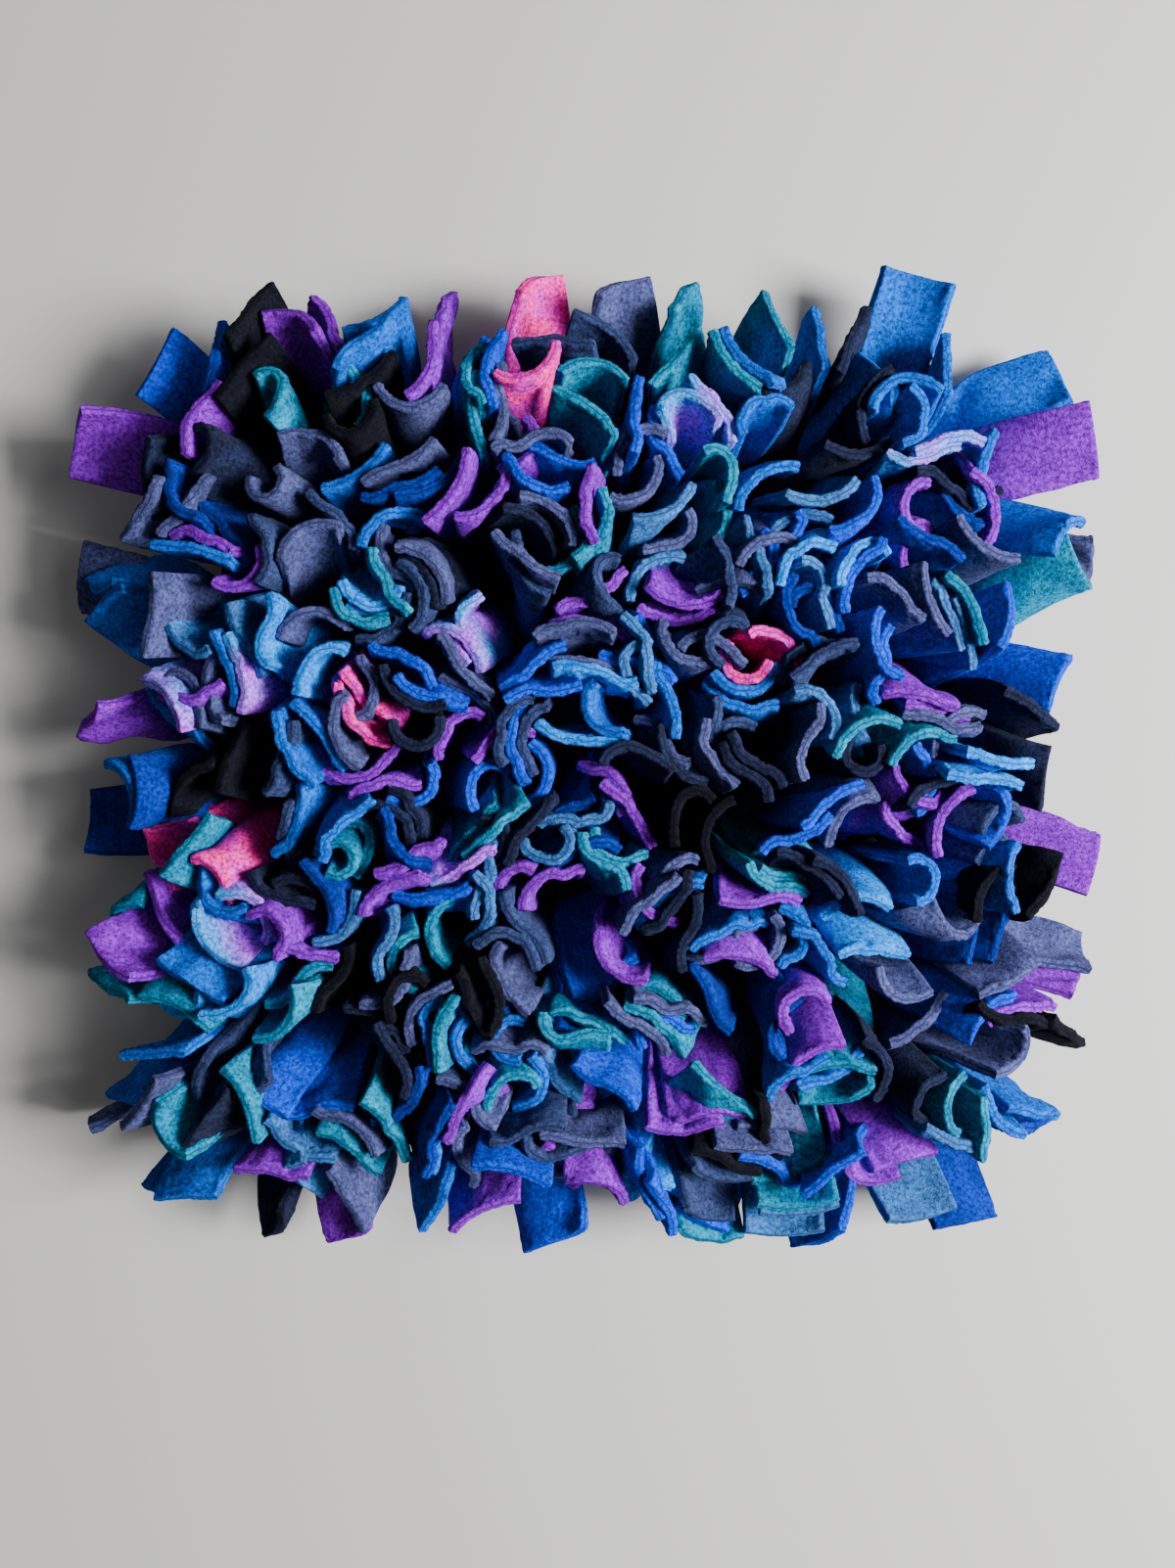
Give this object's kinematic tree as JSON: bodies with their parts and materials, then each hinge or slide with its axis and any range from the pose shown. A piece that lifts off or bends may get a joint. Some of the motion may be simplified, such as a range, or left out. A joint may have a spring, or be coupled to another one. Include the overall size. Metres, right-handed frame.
{
  "type": "snuffle mat",
  "caption": "Square fleece snuffle mat: a flat cloth panel with a dense pile of sewn-on strips, curled in the middle and splayed around the edge, that hides treats for a pet to sniff out.",
  "frame": {"origin": "centre of the base panel's underside, on the surface that the mat lies on", "axes": "+Z out of the pile, +Y towards the edge that is uppermost when the mat is stood up, +X to the right as seen from above"},
  "size_m": [0.3772, 0.3602, 0.0713],
  "materials": {
    "base_cloth": "matt, plain woven dark navy cloth",
    "fleece": "matt, napped on both faces; the strips are dyed royal and azure blue, navy, slate, denim, teal, purple, sky blue and a little pink"
  },
  "bodies": {
    "root": {"base_panel": "base_cloth", "strip_row_01": "fleece", "strip_row_02": "fleece", "strip_row_03": "fleece", "strip_row_04": "fleece", "strip_row_05": "fleece", "strip_row_06": "fleece", "strip_row_07": "fleece", "strip_row_08": "fleece", "strip_row_09": "fleece", "strip_row_10": "fleece", "strip_row_11": "fleece", "strip_row_12": "fleece", "strip_row_13": "fleece", "strip_row_14": "fleece", "strip_row_15": "fleece"}
  },
  "joints": []
}
